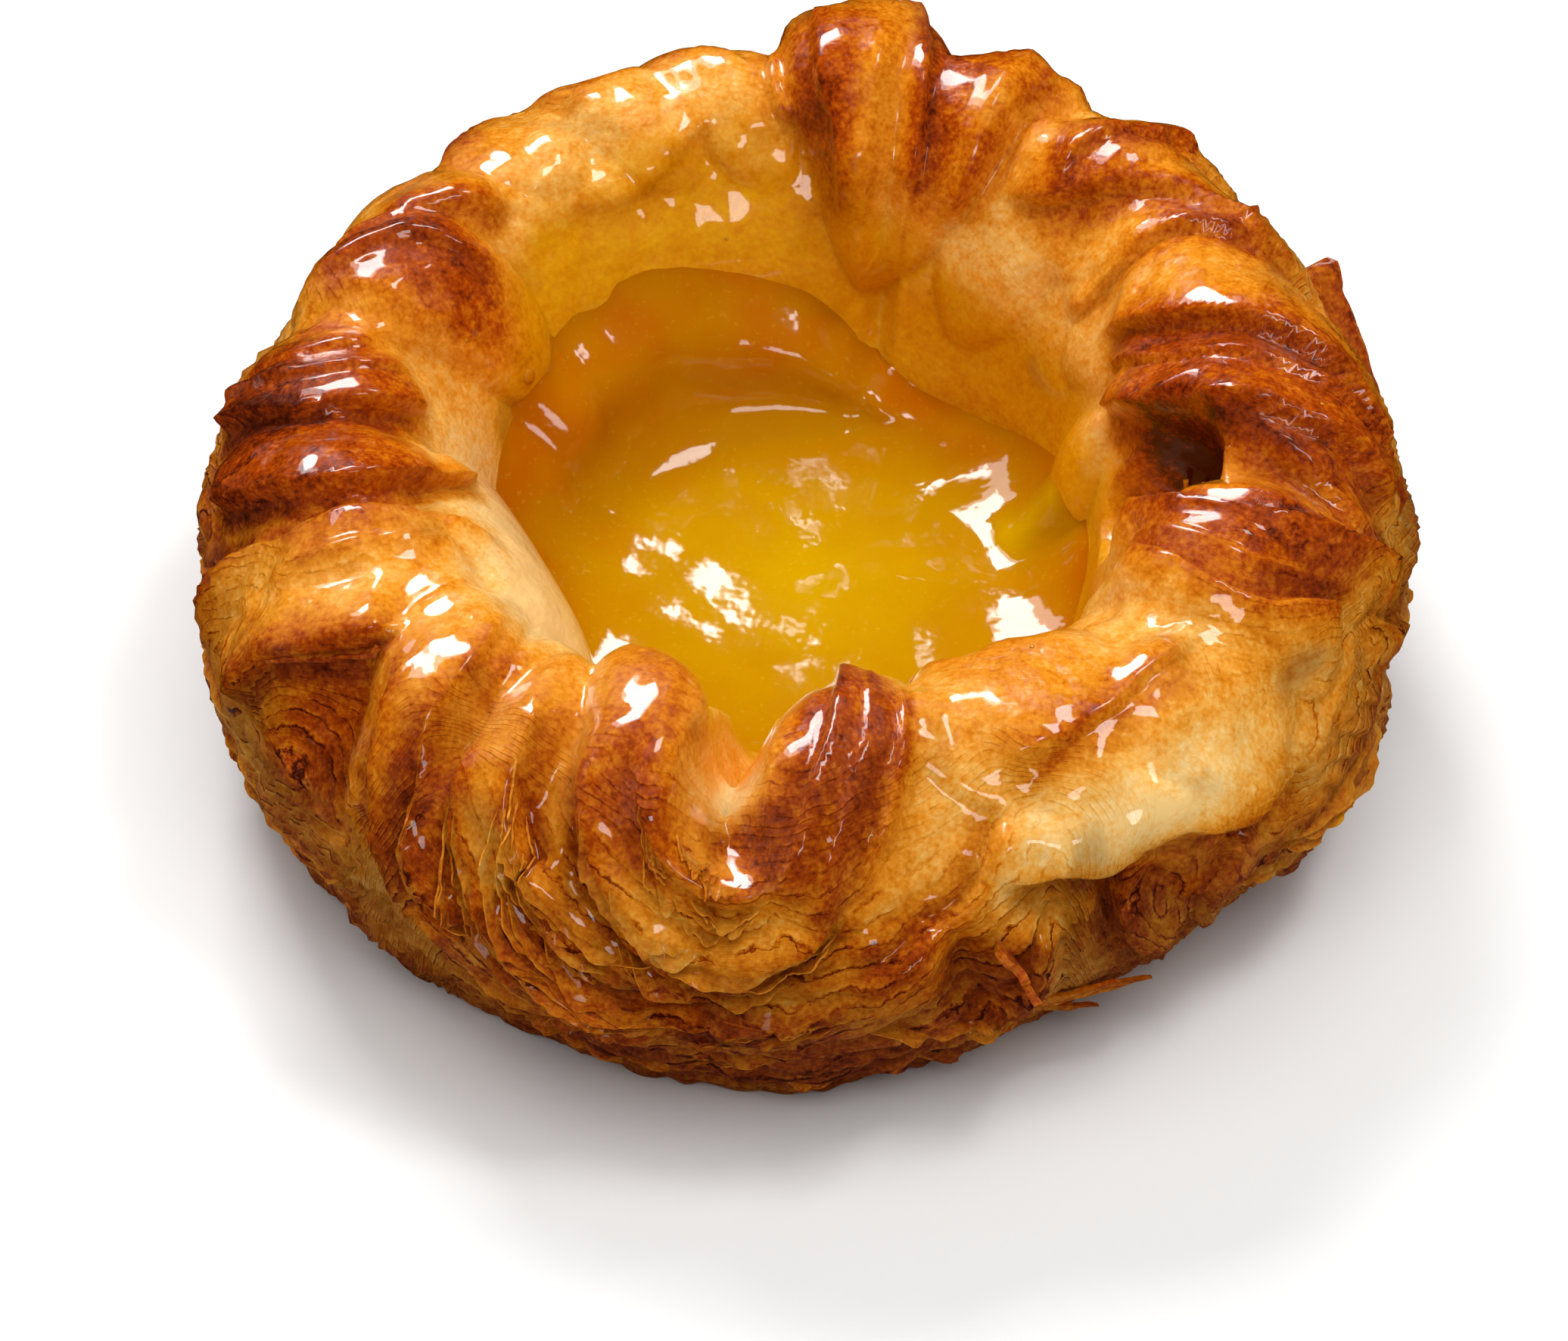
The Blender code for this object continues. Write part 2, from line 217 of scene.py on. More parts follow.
# edges of folded layers: the points (angle, reach) each runs through, the side it drops on as signs of angle
# and reach, its height, and the widths of its gentle high bank and its steep low bank (mm)
crust["lips"] = [
    # the left side, back to front
    (((133, -2), (140, 0), (147, 3), (154, 8)), (0, -1), 1.2, 4, 1),
    (((143, -6), (147, -1), (153, 2.5), (161, 7)), (0, -1), 1.1, 4, 1),
    (((166, -2), (170, 4), (169, 11), (165, 16)), (1, 0), 0.8, 3, 0.7),
    (((169, -5), (174, 3), (172, 12), (168, 17)), (1, 0), 0.9, 3, 0.7),
    (((172, -7), (178.5, 0), (177, 8), (173, 15)), (1, 0), 2.2, 6, 0.8),
    (((184, -10), (191, -4), (194, 1), (188, 9), (183, 16)), (1, 0), 2.6, 9, 0.9),
    (((205, -9), (202, -3), (199, 3), (195, 12), (191, 19), (190, 25)), (-1, 0), 1.5, 6, 0.9),
    (((208, -6), (206, 0), (203, 5), (200, 12)), (-1, 0), 0.7, 3, 0.7),
    (((217, 4), (212, 9), (207, 13), (204, 20)), (1, 0), 2.2, 6, 0.9),
    # the swirl of draped layers under the notch
    (((227, 5), (231, 12), (234, 18), (240, 21), (248, 24.5), (257, 26.5), (268, 26), (282, 27)),
     (0, 1), 2.2, 5, 0.7),
    (((231, 3), (234, 10), (237, 16), (243, 20.5), (251, 23.5), (259, 24.5), (268, 23.5), (278, 22)),
     (0, 1), 1.6, 3.5, 0.6),
    (((236, 2), (238.5, 9), (241, 14), (246, 18), (253, 21), (260, 21.5), (268, 20)),
     (1, 1), 1.8, 4, 0.7),
    (((245, 3), (249, 12), (254, 17), (261, 19), (269, 17.5), (275, 14)), (0, 1), 1.6, 3.5, 0.7),
    (((220, 2), (224, 9), (227, 15), (231, 21), (238, 25.5), (247, 28.5), (258, 30)),
     (0, 1), 1.5, 5, 0.7),
    (((223, -3), (227, 4), (229, 10), (233, 16), (238, 20)), (1, 0), 0.9, 4, 0.6),
    (((252, 4), (256, 10), (262, 13), (267, 12)), (0, 1), 0.9, 3, 0.8),
    # the lobe right of the notch and the front right
    (((277, -6), (274, 2), (270, 9), (267, 14)), (-1, 0), 1.1, 3.5, 0.8),
    (((281, -4), (278, 4), (273, 11), (270, 16)), (-1, 0), 0.8, 3, 0.7),
    (((286, -2), (282, 5), (277, 12), (272, 18)), (-1, 0), 1.4, 4, 0.9),
    (((292, 8), (287, 14), (281, 18), (273, 21)), (-1, 0), 1.5, 4, 0.9),
    (((288, 14), (294, 14.5), (301, 16.5), (308, 15.5), (315, 18), (327, 17.5)), (0, 1), 2, 6, 0.8),
    (((293, 18), (292, 23), (289, 28), (285, 31)), (-1, 0), 1.7, 4, 1),
    (((307, 16), (303, 21), (304, 27), (309, 31)), (-1, 0), 1.7, 4, 0.9),
    (((318, 19), (313, 23), (312, 28), (315, 32)), (-1, 0), 1.1, 4, 0.9),
    # the right side, back to front
    (((66, -9), (62, -2), (60, 6)), (-1, 0), 1.2, 4, 0.9),
    (((52, -3), (47, 4), (43, 10)), (-1, 0), 1.2, 4, 0.9),
    (((39, -10), (35, -5), (32, 0), (25, 8)), (-1, 0), 1.3, 4, 0.8),
    (((30, -9), (22, -5), (14, 1), (6, 10), (1, 16)), (-1, 0), 2.2, 8, 0.8),
    (((22, -12), (10, -7), (1, 0), (-3, 8), (-7, 16)), (-1, 0), 2.8, 8, 0.8),
    (((347, -9), (341, -4), (338, 1), (342, 7), (346, 12), (351, 18)), (1, 0), 2.5, 6, 0.8),
    (((337, -7), (333, -1), (333, 4), (338, 9), (343, 15)), (1, 0), 1, 3.5, 0.7),
    (((330, -6), (327, 1), (328, 5.5), (334, 9.5), (340, 14)), (1, 0), 2, 5, 0.8),
    (((26, -10), (16, -6), (8, 0), (2, 8), (-2, 13)), (-1, 0), 1.2, 4, 0.6),
    (((16, -9), (6, -5), (-3, 1), (-8, 7), (-12, 14)), (-1, 0), 1.4, 4, 0.6),
    (((60, -6), (49, -3), (39, 1), (29, 6), (20, 12)), (-1, 0), 1.5, 6, 0.7),
    (((70, 3), (60, 6), (50, 9), (38, 12), (28, 16)), (0, 1), 1.3, 5, 0.7),
    (((62, -1), (52, 2), (44, 4), (36, 8)), (0, 1), 0.9, 4, 0.6),
    # fine layers along the back rim
    (((136, 8), (127, 9), (117, 8.5), (107, 10), (97, 9)), (0, 1), 1.2, 4, 0.7),
    (((121, 3), (113, 5), (104, 4.5), (96, 2)), (0, 1), 0.9, 4, 0.6),
    (((128, -3), (119, -5), (110, -4), (101, -2)), (0, -1), 0.7, 4, 0.7),
    (((79, 8), (75, 3), (73, -3), (74, -9)), (-1, 0), 1.3, 4, 0.7),
    (((88, 6), (87, 0), (84, -6), (83, -11)), (1, 0), 1.1, 4, 0.7),
    (((320, -4), (309, -3), (298, -5), (287, -6)), (0, -1), 0.8, 4, 0.7),
    (((322, 5), (312, 4), (301, 5), (291, 6)), (0, 1), 0.9, 5, 0.6),
    (((341, 15), (346, 19), (352, 24)), (1, 0), 1.2, 3.5, 0.8),
    (((92, -4), (93, 2), (90, 10)), (1, 0), 1, 5, 1),
]
# draped layers that run on round the wall: how many, first reach, its step, height of the wave, waves in a
# turn, shift (deg), first angle, its step, last angle, step between points, height, gentle and steep bank
crust["shelves"] = (
    (4, 19, 5.5, 2.5, 3, 80, 15, 6, 166, 15, 0.9, 4, 0.8),
    (3, 24, 5, 1.8, 4, 100, 172, 5, 238, 11, 0.9, 3.5, 0.8),
    (3, 22.5, 5, 1.8, 5, 70, 306, 5, 376, 11, 0.9, 3.5, 0.8),
    (3, 30, 3.4, 1.2, 6, 60, 236, 4, 300, 8, 0.8, 3, 0.7),
)
for count, top, step, swing, waves, shift, first, onset, last, gap, *form in crust["shelves"]:
    for shelf in range(count):
        spots = []
        for angle in range(first + onset * shelf, last, gap):
            wave = math.sin(math.radians(waves * angle + shift * shelf))
            spots.append((angle, top + step * shelf + swing * wave))
        crust["lips"].append((tuple(spots), (0, 1), *form))


def sectionWeights(reach):  # how much each knot of the section counts at each reach, eased from knot to knot
    knots = np.array([at for at, height in crust["section"]], float)
    last = len(knots) - 1
    low = np.clip(np.searchsorted(knots, reach, side="right") - 1, 0, last - 1)
    span = knots[low + 1] - knots[low]
    part = (reach - knots[low]) / span
    rows = np.arange(len(reach))
    weights = np.zeros((len(reach), last + 1))
    weights[rows, low] += 2 * part**3 - 3 * part**2 + 1
    weights[rows, low + 1] += 3 * part**2 - 2 * part**3
    for knot, weight in ((low, part**3 - 2 * part**2 + part), (low + 1, part**3 - part**2)):
        left = np.clip(knot - 1, 0, last)
        right = np.clip(knot + 1, 0, last)
        share = weight * span / (knots[right] - knots[left])
        np.add.at(weights, (rows, right), share)
        np.add.at(weights, (rows, left), -share)
    return weights


def plainSection(angle, reach):  # radius and height of the crust before any fold
    crest, rise, mouth, waist, base = (around(column, angle) for column in zip(*crust["directions"]))
    radii = {
        -50: 0, -34: 17, -28: mouth - 5.5, -20: mouth - 2.8, -12: mouth, -6: mouth + 0.45 * (crest - mouth),
        0: crest, 6: crest + 0.42 * (waist - crest), 12: crest + 0.74 * (waist - crest),
        18: crest + 0.955 * (waist - crest), 24: waist, 30: waist - 0.18 * (waist - base),
        36: waist - 0.5 * (waist - base), 41: base + 0.8, 43.5: base - 0.8, 60: 28, 90: 0,
    }
    scale = rise / crust["rise"]  # the rim's height sweeps, the floor and the base stay level
    swept = [height * (scale if -28 <= at <= 36 else 1 + 0 * scale) for at, height in crust["section"]]
    weights = sectionWeights(reach)
    radius = weights @ np.array([radii[at] + 0 * angle for at, height in crust["section"]])
    return radius, np.maximum(weights @ np.array(swept), 0)


# signed distance in mm to a lip's line (more than 0 on its high side), how far along it, and the low way
def lipDistance(spots, low, angle, reach, perDegree):
    line = curveThrough(spots, 5)
    found = np.zeros((4, *angle.shape))
    found[0] = 99  # far off
    middle = line[:, 0].mean()
    near = np.abs(turnFrom(angle, middle)) < np.ptp(line[:, 0]) / 2 + 16
    near &= (reach > line[:, 1].min() - 10) & (reach < line[:, 1].max() + 10)
    turn = turnFrom(angle[near], middle) + middle
    rows, scale = reach[near], perDegree[near]
    total = len(line) - 1
    best = np.full(turn.shape, 1e9)
    inside = found[:, near]
    for index in range(total):
        x0 = (line[index, 0] - turn) * scale
        y0 = line[index, 1] - rows
        dx = (line[index + 1, 0] - line[index, 0]) * scale
        dy = line[index + 1, 1] - line[index, 1]
        length2 = dx * dx + dy * dy + 1e-9
        part = np.clip(-(x0 * dx + y0 * dy) / length2, 0, 1)
        px, py = x0 + part * dx, y0 + part * dy
        distance = np.hypot(px, py)
        flip = np.where(-dy * low[0] + dx * low[1] >= 0, 1, -1) / np.sqrt(length2)
        nx, ny = -dy * flip, dx * flip
        high = px * nx + py * ny >= 0  # the line lies towards the low side, so the point is high
        closer = distance < best
        best = np.where(closer, distance, best)
        here = np.array([np.where(high, distance, -distance), (index + part) / total, nx, ny])
        inside = np.where(closer, here, inside)
    found[:, near] = inside
    return found


def foldDough(warpA, warpR):  # how high the folds stand, less the hollows, and the creases where two folds meet, which get painted shade
    swell = np.zeros(warpA.shape)
    second = np.zeros(warpA.shape)
    for middle, at, halfWidth, halfLength, high, slant in crust["lobes"]:
        across = turnFrom(warpA, middle + slant * (warpR - at)) / halfWidth
        along = (warpR - at) / halfLength
        arch = high * np.clip(1 - across**2 - along**2, 0, 1) ** crust["foldRound"]
        second = np.maximum(second, np.minimum(swell, arch))
        swell = np.maximum(swell, arch)
    # where two folds meet: this crease is darkened later as painted shade
    foldCreaseShade = smooth(second / np.maximum(swell, 0.4), 0.7, 1.0) * smooth(swell, 0.2, 1.2)
    for middle, at, halfWidth, halfLength, depth, bank in crust["hollows"]:
        across = np.abs(turnFrom(warpA, middle)) / halfWidth
        along = np.abs(warpR - at) / halfLength
        swell = swell - depth * (np.clip(1 - across**bank, 0, 1) * np.clip(1 - along**2, 0, 1))
    return swell, foldCreaseShade


# adds the lips to the swell and lays the fine layers along them; edge is on a lip, and the band just below it
# is kept for painted shade
def layLips(warpA, warpR, perDegree, swell, layer):
    leanA, leanR, edge, under = np.zeros((4, *warpA.shape))
    for spots, low, height, gentle, steep in crust["lips"]:
        signed, along, wayX, wayY = lipDistance(spots, low, warpA, warpR, perDegree)
        ends = smooth(along, 0, 0.16) * (1 - smooth(along, 0.84, 1.0))
        high = height * ends
        bank = np.where(signed >= 0, 1 - smooth(signed, 0, gentle), 1 - smooth(-signed, 0, steep))
        swell = swell + high * bank
        lean = high * np.exp(-np.abs(signed - 0.4) / 1.3)
        leanA += lean * wayX * crust["lean"]
        leanR += lean * wayY * crust["lean"]
        edge = np.maximum(edge, ends * np.exp(-((signed - 0.3) / 0.75) ** 2) * min(1, height / 1.2))
        shadeBand = ends * smooth(-signed, 0.1, 0.9) * (1 - smooth(-signed, 1.4, 4.0))
        under = np.maximum(under, shadeBand * height / 2)
        hold = ends * np.exp(-np.abs(signed) / 4.5)
        layer = layer * (1 - hold) + signed * hold
    return swell, layer, leanA, leanR, edge, under


def shapeCrust(angles, reach):  # the crust's surface as rows of reach by angle, and what its skin is like
    radius, height = plainSection(angles, reach)
    turn = np.radians(angles)
    points = np.stack([radius * np.cos(turn), radius * np.sin(turn), height], axis=2)
    angle = np.broadcast_to(angles[None, :], radius.shape).copy()
    row = np.broadcast_to(reach[:, None], radius.shape).copy()
    # nothing runs dead straight: the folds are read off a gently warped place
    warpA = angle + 1.1 * cloud(points, 9, 1) + 0.5 * cloud(points, 3.5, 2)
    warpR = row + 0.9 * cloud(points, 8, 3) + 0.35 * cloud(points, 3, 4)
    perDegree = np.maximum(radius, 12) * math.pi / 180
    swell, foldCreaseShade = foldDough(warpA, warpR)
    layer = warpR + 1.2 * cloud(points, 12, 5)
    swell, layer, leanA, leanR, edge, under = layLips(warpA, warpR, perDegree, swell, layer)

    notch, middle, perAngle = crust["nest"]
    nest = np.hypot(turnFrom(warpA, middle) * perAngle, np.maximum(warpR, 0))
    hold = 0.85 * smooth(warpR, 3, 10) * (1 - smooth(np.abs(turnFrom(warpA, notch)), 30, 42))
    layer = layer * (1 - hold) + (nest + 0.6 * cloud(points, 9, 15)) * hold

    # shelves of the flaky layers, strongest low on the outer wall
    flaky = smooth(row, 9, 20) * (1 - 0.5 * smooth(row, 36, 43)) + 0.35 * smooth(row, -2, 9)
    flaky *= 0.65 + 0.35 * cloud(points, 11, 6)
    middle, halfWidth, at, halfLength = crust["bubble"]
    flaky *= 1 - np.exp(-(turnFrom(angle, middle) / halfWidth) ** 2 - ((row - at) / halfLength) ** 2)
    flaky = np.clip(flaky, 0, 1)
    shelf = layer / crust["leafStep"] + 0.5 * cloud(points, 6, 7)
    saw = shelf - np.floor(shelf)
    swell = swell + flaky * crust["leafDepth"] * (np.where(saw < 0.8, saw / 0.8, (1 - saw) / 0.2) - 0.5)
    swell = swell + flaky * crust["leafRagged"] * cloud(points, 2.2, 8)
    broad, mid, fine = (high * cloud(points, size, seed) for size, high, seed in crust["blisters"])
    swell = swell + (np.maximum(broad, 0) + mid + fine) * smooth(row, -14, -6) * (1 - 0.5 * flaky)
    swell = swell + 0.5 * cloud(points, 7, 12) * smooth(row, 24, 34)
    swell = swell + 0.35 * cloud(points, 1.6, 13) * smooth(row, 24, 36)

    well = smooth(row, -26, -20)  # the folds die out before the well's floor
    swell = swell * well + (1 - well) * 0.35 * cloud(points, 6, 11) * smooth(row, -30, -24)
    stand = 1 - smooth(row, 42.5, 43.5)  # and before the flat base
    along = np.stack([-np.sin(turn), np.cos(turn), 0 * turn], axis=1)[None]
    onward = np.gradient(points, axis=0)
    onward = onward / np.maximum(np.linalg.norm(onward, axis=2, keepdims=True), 1e-9)
    moved = points + outward(points) * (swell * stand)[:, :, None]
    lean = leanA[:, :, None] * along + leanR[:, :, None] * onward
    moved = moved + (well * stand)[:, :, None] * lean
    moved[:, :, 2] = np.maximum(moved[:, :, 2], 0)
    moved[reach >= 50, :, 2] = 0
    skin = {"foldCreaseShade": foldCreaseShade, "edge": edge * well, "under": np.clip(under, 0, 1) * well, "layer": layer,
            "flaky": flaky, "swell": swell}
    return moved, angle, row, skin


def buildCrust():
    angles = np.arange(crust["columns"]) / crust["columns"] * 360
    fine = np.arange(-32.0, 43.6, crust["rowStep"])
    reach = np.concatenate([[crust["wellMiddle"], -42, -36], fine, [50, 66, crust["baseMiddle"]]])
    grid, angle, row, skin = shapeCrust(angles, reach)
    piece, ring, column = ballMesh("crust", crust["columns"], grid + crust["shift"])
    bake = crust["bake"] + 0.12 * cloud(grid, 9, 20) + 0.08 * cloud(grid, 3, 21)
    bake = bake + 0.20 * smooth(skin["swell"], 0.8, 4.5)
    for middle, at, halfWidth, halfLength, amount in crust["browning"]:
        across = turnFrom(angle, middle) / halfWidth
        along = (row - at) / halfLength
        bake = bake + amount * np.exp(-1.2 * (across**2 + along**2))
    # painted shade: the band just below each lip and the creases between folds are darkened; lip edges brown
    # more
    bake = bake + 0.20 * skin["edge"] + 0.36 * skin["under"] + 0.15 * skin["foldCreaseShade"]
    bake = bake + 0.22 * smooth(row, 26, 38) + 0.18 * smooth(row, 12, 22)
    bake = np.where(bake > 0.7, 0.7 + 0.5 * (bake - 0.7), bake)  # the darkest browns are held back
    gloss = 1 - smooth(row + 3 * cloud(grid, 8, 22), 17, 25)
    gloss = gloss * (1 - 0.5 * skin["under"]) * smooth(0.6 + cloud(grid, 6, 23), -0.3, 0.1)
    gloss = np.maximum(gloss, 0.8 * smooth(cloud(grid, 7, 24), 0.35, 0.6) * (1 - smooth(row, 30, 36)))
    shore = around(crust["shore"], angle) + 1.8 * cloud(grid, 6, 25) + 0.8 * cloud(grid, 2.5, 26)
    crust["reach"] = reach
    crust["fields"] = (grid, outward(grid), bake[..., None])
    values = {"bake": bake, "gloss": gloss, "stain": 1 - smooth(row - shore, -3.0, 2.5),
              "layer": skin["layer"], "flaky": skin["flaky"]}
    paint(piece, **{name: value[ring, column] for name, value in values.items()})
    return piece


custard = {
    "columns": 240,
    "level": 13.2,
    "poolRadius": 15.5,
    "bend": 5.5,
    "skin": -0.5,  # its edge runs into the dough
    "gap": 0.15,
    "ledge": 1.9,  # how far the shelf at the back left swells, mm
    "ledgeAngle": 112,
    "tongue": 0.6,  # how far the run of custard under the hole swells, mm
    "tongueAngle": 17,
    "foot": -35.0,
    # how far up the wall it clings, as a reach, every 15 degrees from +X
    "edge": (-18, -17.5, -20, -22, -22.5, -20.5, -14.5, -10.5, -9, -10.5, -13, -15.5,
             -19, -22.5, -24, -24, -23, -20, -19, -20, -21, -22, -21.5, -20.5),
    "poolRings": 36,
    "wallRings": 26,
    "hiddenRings": 8,
    "yellows": ((0.0, "#C89A00"), (0.5, "#BA8400"), (0.85, "#B87201"), (1.0, "#B86201")),
    "fleck": "#E2BE3C",
}


def buildCustard():
    columns = custard["columns"]
    angles = np.arange(columns) / columns * 360
    turn = np.radians(angles)
    ringPlace = np.stack([9 * np.cos(turn), 9 * np.sin(turn), 0 * turn], axis=1)
    edge = around(custard["edge"], angles) + 1.0 * cloud(ringPlace, 3, 34) + 0.5 * cloud(ringPlace, 1.2, 35)
    reach = np.arange(-50.0, -8.0, 0.4)
    wall = shapeCrust(angles, reach)[0]
    normal = outward(wall)

    def beside(at, gap):  # a ring that far off the wall
        lifted = wall + gap * normal
        place = (at - reach[0]) / (reach[1] - reach[0])
        low = np.floor(place).astype(int)
        part = (place - low)[:, None]
        column = np.arange(columns)
        return (1 - part) * lifted[low, column] + part * lifted[low + 1, column]

    def pool(radius):
        flat = np.full(columns, custard["level"])
        return np.stack([radius * np.cos(turn), radius * np.sin(turn), flat], axis=1)

    skin = custard["gap"] + custard["skin"]
    inner, outer = pool(custard["poolRadius"]), pool(custard["poolRadius"] + custard["bend"])
    top = beside(edge, skin)
    rings = [pool(custard["poolRadius"] * share) for share in np.linspace(0, 1, custard["poolRings"])[:-1]]
    for share in np.linspace(0, 1, custard["wallRings"]):
        rings.append((1 - share) ** 2 * inner + 2 * share * (1 - share) * outer + share**2 * top)
    surface = len(rings)
    rings.append(beside(edge + 0.2, skin - 0.2))
    for share in np.linspace(1, 0, custard["hiddenRings"]):
        down = custard["foot"] + share * (edge - custard["foot"])
        rings.append(beside(down, custard["gap"] - 0.8 * share))
    middle = np.zeros((columns, 3))
    middle[:, 2] = crust["baseThick"] + custard["gap"]
    rings.append(middle)
    grid = np.array(rings)

    upper = grid[:surface]  # the set skin of the pool has shallow dimples and swells
    flat = upper * (1, 1, 0)
    upper[:, :, 2] += 0.38 * cloud(flat, 9, 30) + 0.15 * cloud(flat, 3.8, 31) + 0.03 * cloud(upper, 1.8, 32)
    share = np.linspace(0, 1, surface)[:, None]
    inward = -np.stack([np.cos(turn), np.sin(turn)], axis=1)[None]
    hug = 1 - smooth(share, 0.94, 1.0)  # the edge keeps to the wall
    climb = smooth(share, 0.55, 0.8) * hug
    facing = smooth(np.cos(turn - math.radians(custard["ledgeAngle"])), 0.55, 0.9)
    ledge = custard["ledge"] * np.exp(-((share - 0.88) / 0.07) ** 2) * facing
    spread = turnFrom(angles, custard["tongueAngle"])[None] + 10 * (share - 0.8)
    run = np.exp(-(spread / 7) ** 2) * smooth(share, 0.62, 0.74) * hug
    bumps = 0.7 * cloud(upper, 6, 33) + 0.15 * cloud(upper, 2.8, 36)
    push = climb * bumps + ledge * hug + custard["tongue"] * run
    upper[:, :, :2] += push[:, :, None] * inward
    upper[:, :, 2] += 0.7 * ledge * hug
    grid[0] = grid[0].mean(axis=0)
    piece, ring, column = ballMesh("custard", columns, grid + crust["shift"])
    depth = np.clip(np.arange(len(grid)) / surface, 0, 1)[:, None] + 0 * turn[None]
    depth[:surface] -= 0.6 * run
    paint(piece, rim=np.clip(depth, 0, 1)[ring, column])
    return piece


def onCrust(angle, reach):  # where the crust's surface is, which way it faces and how brown it is, painted shade included
    angle, reach = np.broadcast_arrays(np.asarray(angle, float), np.asarray(reach, float))
    columns = crust["columns"]
    across = angle / 360 * columns % columns
    along = np.interp(reach, crust["reach"], np.arange(len(crust["reach"])))
    left = np.floor(across).astype(int)
    low = np.minimum(np.floor(along).astype(int), len(crust["reach"]) - 2)
    u, v = (across - left)[..., None], (along - low)[..., None]
    left, right = left % columns, (left + 1) % columns
    found = []
    for field in crust["fields"]:
        upper = (1 - u) * field[low, left] + u * field[low, right]
        lower = (1 - u) * field[low + 1, left] + u * field[low + 1, right]
        found.append((1 - v) * upper + v * lower)
    place, normal, bake = found
    return place, normal / np.maximum(np.linalg.norm(normal, axis=-1, keepdims=True), 1e-9), bake[..., 0]


def sheetMesh(name, grid, bake):  # a leaf of faces laid on the rows of grid, as brown as its browning, with any painted shade, says
    along, across = grid.shape[:2]
    deselect()
    bpy.ops.mesh.primitive_grid_add(x_subdivisions=across - 1, y_subdivisions=along - 1, size=2)
    piece = bpy.context.object
    piece.name = piece.data.name = name
    place = placesOf(piece)
    column = np.rint((place[:, 0] + 1) / 2 * (across - 1)).astype(int)
    row = np.rint((place[:, 1] + 1) / 2 * (along - 1)).astype(int)
    piece.data.vertices.foreach_set("co", ((grid[row, column] + crust["shift"]) * mm).ravel())
    paint(piece, bake=(bake + 0 * grid[..., 0])[row, column], gloss=0.25 + 0 * row, layer=row * 0.3,
          flaky=0.3 + 0 * row)
    return piece


def joinAll(pieces, name):
    choose(pieces)
    bpy.ops.object.join()
    pieces[0].name = pieces[0].data.name = name
    return pieces[0]


def thicken(piece, thickness):
    wall = piece.modifiers.new("wall", "SOLIDIFY")
    wall.thickness = thickness * mm
    wall.offset = 0
    wall.use_even_offset = False
    choose([piece])
    bpy.ops.object.modifier_apply(modifier="wall")
    faceOutwards()
    bpy.ops.object.shade_smooth_by_angle(angle=math.radians(50))


flakes = {
    "seed": 11,
    "across": 44,
    "along": 4,
    "thickness": 0.18,
    "root": 0.35,  # how deep the held edge sits, mm
    "swirl": 60,  # how many follow the lips under the notch
    "swirlWidth": (0.9, 1.7),
    "swirlLift": (0.5, 1.0),
    # how many, first and last angle, first and last reach
    "zones": ((22, 15, 165, 20, 38), (14, 172, 226, 20, 38), (20, 232, 300, 25, 38), (14, 300, 372, 22, 38)),
    "zoneWidth": (0.8, 1.7),
    "zoneLift": (0.4, 1.0),
}


def flakeSheet(index, path, width, lift):  # one edge is in the crust along path, the other lifts away from it
    u = np.linspace(0, 1, flakes["across"])
    v = np.linspace(0, 1, flakes["along"])[:, None]
    spots = np.stack([u * 14, u * 0 + index * 3.7, u * 0], axis=1)
    taper = np.sin(math.pi * u) ** 0.5 * (1 + 0.45 * cloud(spots, 2.2, 40) + 0.2 * cloud(spots, 0.8, 41))
    angle = path[:, 0][None] + 0 * v
    reach = path[:, 1][None] + v * width * taper[None]
    place, normal, bake = onCrust(angle, reach)
    rise = -flakes["root"] + lift * v**1.6 * taper[None] * (1 + 0.5 * cloud(spots, 1.6, 42)[None])
    grid = place + normal * rise[..., None]
    grid[..., 2] = np.maximum(grid[..., 2], 0.1)
    return sheetMesh("flake%d" % index, grid, bake * 0.8 - 0.18 * v + 0.16)


def buildFlakes():
    rng = np.random.default_rng(flakes["seed"])
    swirl = []
    for spots, low, *_ in crust["lips"]:
        if low[1] == 1 and 226 < spots[0][0] < 260 and spots[0][1] < 8:
            swirl.append(spots)
    sheets = []
    for index in range(flakes["swirl"]):
        line = curveThrough(swirl[index % len(swirl)], 12)
        line[:, 1] += rng.uniform(-2.2, 2.6)
        length = rng.uniform(0.18, 0.5)
        start = rng.uniform(0.12, 0.97 - length)
        place = np.linspace(start, start + length, flakes["across"]) * (len(line) - 1)
        path = np.stack([np.interp(place, np.arange(len(line)), column) for column in line.T], axis=1)
        width = rng.uniform(*flakes["swirlWidth"])
        sheets.append(flakeSheet(index, path, width, rng.uniform(*flakes["swirlLift"])))
    for count, first, last, top, bottom in flakes["zones"]:
        for index in range(count):
            length = rng.uniform(9, 24)
            start = rng.uniform(first, last - length)
            angle = np.linspace(start, start + length, flakes["across"])
            reach = rng.uniform(top, bottom) + 0.7 * np.sin(np.radians(angle * 9))
            reach = reach + rng.uniform(-0.12, 0.12) * (angle - start)
            path = np.stack([angle, reach], axis=1)
            width = rng.uniform(*flakes["zoneWidth"])
            sheets.append(flakeSheet(index, path, width, rng.uniform(*flakes["zoneLift"])))
    piece = joinAll(sheets, "flakes")
    thicken(piece, flakes["thickness"])
    return piece


fins = {  # torn leaves off the outline: first and last angle, first and last reach, height, thickness
    "back_right": (27, 10, 12.5, 17, 2.7, 0.9),
    "small_back_right": (35, 31, 10, 12, 1.4, 0.7),
    "right_tuft": (3, -2, 17, 18, 1.2, 0.4),
    "front_fold": (288, 293, 19, 27, 1.2, 0.8),
    "flap_edge": (217, 206, 5.5, 14, 1.0, 0.6),
}


